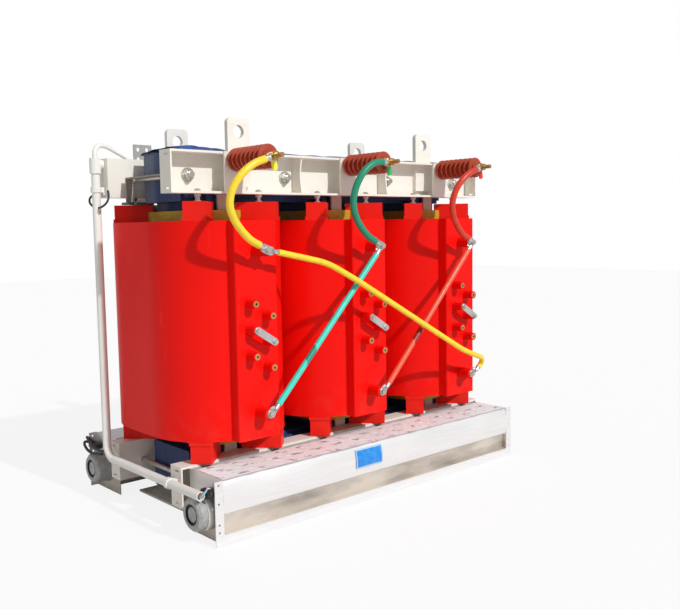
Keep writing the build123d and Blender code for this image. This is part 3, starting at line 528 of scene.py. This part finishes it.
def platePaint():
    paint = Paint("bluePlate", Specular_IOR_Level=0.5)
    (left, right), (bottom, top) = plate["x"], plate["z"]
    across = (paint.x - left) / (right - left)
    up = (paint.z - bottom) / (top - bottom)
    sides = (across < plate["rimAcross"]).most(across > 1 - plate["rimAcross"])
    rim = sides.most(up < plate["rimUp"]).most(up > 1 - plate["rimUp"])
    fleck = paint.between(paint.noise(60.0), 0.4, 0.8)
    blue = paint.mixColour(fleck, plate["blue"], plate["lightBlue"])
    paint.use("Base Color", paint.mixColour(rim * plate["rimShare"], blue, plate["rim"]))
    paint.use("Roughness", 0.32 + fleck * 0.1)
    paint.bump(fleck, plate["depth"])
    return paint


def makePlate():
    # the plate follows the panel at a small height; its outermost rows drop back to the panel
    u = np.array([0, 0, *np.linspace(0, 1, 40), 1, 1])[:, None]
    v = np.array([0, *np.linspace(0, 1, 30), 1])[None, :]
    (left, right), (bottom, top) = plate["x"], plate["z"]
    x = left + (right - left) * u + 0 * v
    z = bottom + (top - bottom) * v + 0 * u
    inside = np.zeros(x.shape)
    inside[2:-2, 1:-1] = 1.0
    y = panelFront(z) - plate["gap"] - plate["proud"] * inside
    gridPiece("blower_plate", np.stack([x, y, z], axis=-1), platePaint(), closed=False)


# stiffening ribs inside the top clamps, between the web and the flanges' edges
ribs = {"x": (-0.232, 0.232), "thick": 0.006, "inset": 0.006, "rippleShade": 0.010, "wall": 0.008,
        "web": -0.204, "edge": -0.267, "rows": 24}


def makeRibs():
    # a flat plate whose outer edge is hollowed by a sine; each end closes on one point
    low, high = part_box("top_clamp_front")
    t = np.linspace(0, 1, ribs["rows"])
    z = low.z + ribs["wall"] + (high.z - low.z - 2 * ribs["wall"]) * t
    web = np.full_like(t, ribs["web"])
    edge = ribs["edge"] + ribs["inset"] + ribs["rippleShade"] * np.sin(np.pi * t)
    half = ribs["thick"] / 2
    for side, word in ((1, "front"), (-1, "rear")):
        for number, x in enumerate(ribs["x"], start=1):
            corners = ((x - half, web), (x - half, edge), (x + half, edge), (x + half, web))
            lines = [np.stack([np.full_like(t, atX), y, z], axis=-1) for atX, y in corners]
            rows = np.stack(lines, axis=1)
            ends = [rows[:1].copy(), rows[-1:].copy()]
            for end in ends:
                end[..., :2] = end[..., :2].mean(axis=1, keepdims=True)
            grid = np.concatenate([ends[0], rows, ends[1]], axis=0)
            if side < 0:
                grid = grid[:, ::-1] * np.array([1, -1, 1])
            rib = gridPiece(f"clamp_rib_{word}_{number}", grid, clampWhite)
            rib.data.shade_flat()


# blue sealing sheet over the upper yoke
cover = {"x": 0.692, "y": 0.150, "lift": 0.003, "rise": 0.012, "thick": 0.002, "flat": 0.72,
         "heapX": -0.60, "heapWidth": 0.10, "heap": 0.013, "underLift": 0.001, "underRise": 0.008,
         "darkBlue": (0.010, 0.040, 0.22), "blue": (0.03, 0.11, 0.42), "foldDepth": 0.002}


def coverPaint():
    paint = Paint("yokeCover", Specular_IOR_Level=0.5)
    fold = paint.between(paint.noise(30.0, 4.0), 0.35, 0.7)
    paint.use("Base Color", paint.mixColour(fold, cover["darkBlue"], cover["blue"]))
    paint.use("Roughness", 0.32 + fold * 0.15)
    paint.bump(fold, cover["foldDepth"])
    return paint


def makeCover():
    # height over the yoke = a low crown across Y, pleats along X, a heap of folds near the left end
    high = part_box("upper_yoke")[1]
    u = np.linspace(-1, 1, 260)[:, None]
    v = np.linspace(-1, 1, 60)[None, :]
    x = u * cover["x"] + 0 * v
    y = v * cover["y"] + 0 * u
    crown = 1 - np.abs(v) ** 6
    pleat = 0.5 + 0.5 * np.sin(x * 41 + 2 * np.sin(y * 19) + np.sin(x * 13) * 2)
    near = np.exp(-((x - cover["heapX"]) / cover["heapWidth"]) ** 2)
    heap = near * (0.5 + 0.5 * np.sin(x * 120 + y * 60)) * cover["heap"]
    pleated = cover["flat"] + (1 - cover["flat"]) * pleat
    z = high.z + cover["lift"] + crown * (cover["rise"] * pleated + heap)
    floor = high.z + cover["underLift"] + crown * cover["underRise"]
    top = np.stack([x, y, z], axis=-1)
    under = np.stack([x, y, np.minimum(z - cover["thick"], floor)], axis=-1)
    sheetPiece("yoke_cover", top, under, coverPaint())


# black terminal block beside each motor, as centre and half sizes
block = {"x": -0.797, "y": 0.428, "z": 0.182, "half": (0.019, 0.034, 0.012), "bend": 0.35}


def makeBlock(word, side):
    centre = (block["x"], side * block["y"], block["z"])
    roundedBlock(f"{word}_terminal_block", centre, block["half"], block["bend"], cableBlack)


# three thin wires from the conduit's end to the front block: where each ends and how low it runs
wires = {"radius": 0.0024, "ends": (-0.410, -0.424, -0.440), "drops": (0.0, 0.004, 0.002)}


def makeMotorWires():
    paints = (coat("wirePink", (0.85, 0.32, 0.34), (0.6, 0.2, 0.2), 0.4, 0.4),
              coat("wireBlue", (0.15, 0.55, 0.80), (0.1, 0.35, 0.5), 0.4, 0.4),
              coat("wireWhite", (0.80, 0.79, 0.76), (0.6, 0.58, 0.52), 0.4, 0.4))
    for number, (paint, endY, drop) in enumerate(zip(paints, wires["ends"], wires["drops"]), start=1):
        route = [(-0.838, -0.436, 0.182 - drop), (-0.838, -0.447, 0.184 - drop),
                 (-0.830, -0.452 - drop, 0.196), (-0.815, -0.446, 0.204),
                 (-0.803, endY - 0.006, 0.202), (-0.799, endY, 0.193)]
        wirePiece(f"motor_wire_{number}", route, wires["radius"], paint)


# black cables: a loop behind the riser and two from the rear block to the conduit
cables = {
    "loopRadius": 0.004125,
    "loop": [(-0.822, 0.262, 1.205), (-0.838, 0.286, 1.196), (-0.842, 0.293, 1.173),
             (-0.838, 0.270, 1.155), (-0.838, 0.232, 1.147), (-0.838, 0.192, 1.151),
             (-0.830, 0.166, 1.166), (-0.818, 0.170, 1.190), (-0.812, 0.190, 1.212)],
    "rearRadius": 0.0055,
    "rear": [[(-0.800, 0.428, 0.190), (-0.812, 0.440, 0.206), (-0.828, 0.438, 0.222),
              (-0.840, 0.410, 0.224), (-0.846, 0.360, 0.206), (-0.842, 0.310, 0.190),
              (-0.838, 0.262, 0.196)],
             [(-0.800, 0.440, 0.188), (-0.816, 0.456, 0.196), (-0.834, 0.452, 0.200),
              (-0.846, 0.424, 0.190), (-0.850, 0.380, 0.176), (-0.846, 0.330, 0.170),
              (-0.840, 0.280, 0.182)]]}


def makeCables():
    wirePiece("riser_cable", cables["loop"], cables["loopRadius"], cableBlack)
    for number, route in enumerate(cables["rear"], start=1):
        wirePiece(f"rear_motor_cable_{number}", route, cables["rearRadius"], cableBlack)


# white strap round the outer side of each motor
strap = {"x": -0.800, "halfWidth": 0.010, "radius": 0.0605, "thick": 0.0022, "arc": (-62, 58), "steps": 50}


def makeStraps():
    # a flat section carried along an arc about the fan's axis
    angle = np.radians(np.linspace(*strap["arc"], strap["steps"]))
    half, thick = strap["halfWidth"], strap["thick"]
    for side, word in ((-1, "front"), (1, "rear")):
        lines = []
        for dx, dr in ((-half, 0.0), (half, 0.0), (half, thick), (-half, thick)):
            radius = strap["radius"] + dr
            y = side * (fanAxis[0] + radius * np.cos(angle))
            z = fanAxis[1] + radius * np.sin(angle)
            lines.append(np.stack([np.full_like(angle, strap["x"] + dx), y, z], axis=-1))
        grid = np.stack(lines, axis=1)
        if side > 0:
            grid = grid[:, ::-1]
        gridPiece(f"{word}_motor_strap", grid, clampWhite)


makeFilm()
makePlate()
makeRibs()
makeCover()
makeBlock("front", -1)
makeMotorWires()
makeBlock("rear", 1)
makeCables()
makeStraps()
print("film, plate, ribs, cover and wiring made")


# camera: place, lens and heading of the view
view = {"place": (-2.26073, -2.74466, 1.06322), "lens": 43.765, "sensor": 36.0, "reach": 100.0,
        "right": (0.74552, -0.66630, -0.01618), "up": (0.07449, 0.05918, 0.99548)}


def makeCamera():
    data = bpy.data.cameras.new("view")
    data.sensor_width = view["sensor"]
    data.lens = view["lens"]
    data.clip_end = view["reach"]
    camera = bpy.data.objects.new("view", data)
    bpy.context.scene.collection.objects.link(camera)
    right = Vector(view["right"]).normalized()
    up = Vector(view["up"]).normalized()
    turn = Matrix((right, up, right.cross(up))).transposed().to_4x4()
    camera.matrix_world = Matrix.Translation(view["place"]) @ turn
    bpy.context.scene.camera = camera


# sun, sky and floor; the floor and the sky look brighter to the camera than they light the object
studio = {"sun": 2.75, "sunSoftness": 0.03, "sunFrom": (0.10, -1.0, 0.76), "sky": 0.44,
          "floorSize": 30.0, "floorGlow": 0.86, "floor": (0.80, 0.80, 0.80)}


def makeSky():
    world = bpy.data.worlds.new("studio")
    world.use_nodes = True
    bpy.context.scene.world = world
    sky = Nodes(world.node_tree)
    rays = {ray.socket.name: ray for ray in sky.node("ShaderNodeLightPath", {}, {})}
    seen = rays["Is Camera Ray"].most(rays["Is Transmission Ray"])
    inputs = {"Value": seen, "To Min": studio["sky"], "To Max": 1.0}
    level = sky.node("ShaderNodeMapRange", {}, inputs)[0]
    background = sky.tree.nodes["Background"]
    background.inputs["Color"].default_value = (1.0, 1.0, 1.0, 1.0)
    sky.tree.links.new(level.socket, background.inputs["Strength"])


def makeSun():
    sun = bpy.data.lights.new("sun", "SUN")
    sun.energy = studio["sun"]
    sun.angle = studio["sunSoftness"]
    lamp = bpy.data.objects.new("sun", sun)
    lamp.rotation_mode = "QUATERNION"
    lamp.rotation_quaternion = Vector(studio["sunFrom"]).normalized().to_track_quat("Z", "Y")
    bpy.context.scene.collection.objects.link(lamp)


def makeFloor():
    half = studio["floorSize"] / 2
    mesh = bpy.data.meshes.new("floor")
    corners = [(-half, -half, 0), (half, -half, 0), (half, half, 0), (-half, half, 0)]
    mesh.from_pydata(corners, [], [(0, 1, 2, 3)])
    paint = Paint("floorWhite", Roughness=0.9, Specular_IOR_Level=0.1)
    paint.use("Base Color", studio["floor"])
    glow = paint.node("ShaderNodeEmission", {}, {"Color": (1, 1, 1, 1), "Strength": 1.0})[0]
    seen = paint.node("ShaderNodeLightPath", {}, {})[0]
    inputs = {0: seen * studio["floorGlow"], 1: Value(paint, paint.shader.outputs[0]), 2: glow}
    mixed = paint.node("ShaderNodeMixShader", {}, inputs)[0]
    output = paint.tree.nodes["Material Output"]
    paint.tree.links.new(mixed.socket, output.inputs["Surface"])
    mesh.materials.append(paint.material)
    floor = bpy.data.objects.new("floor", mesh)
    bpy.context.scene.collection.objects.link(floor)


makeCamera()
makeSky()
makeSun()
makeFloor()
bpy.context.scene.view_settings.view_transform = "Standard"
print("camera, light and floor set")
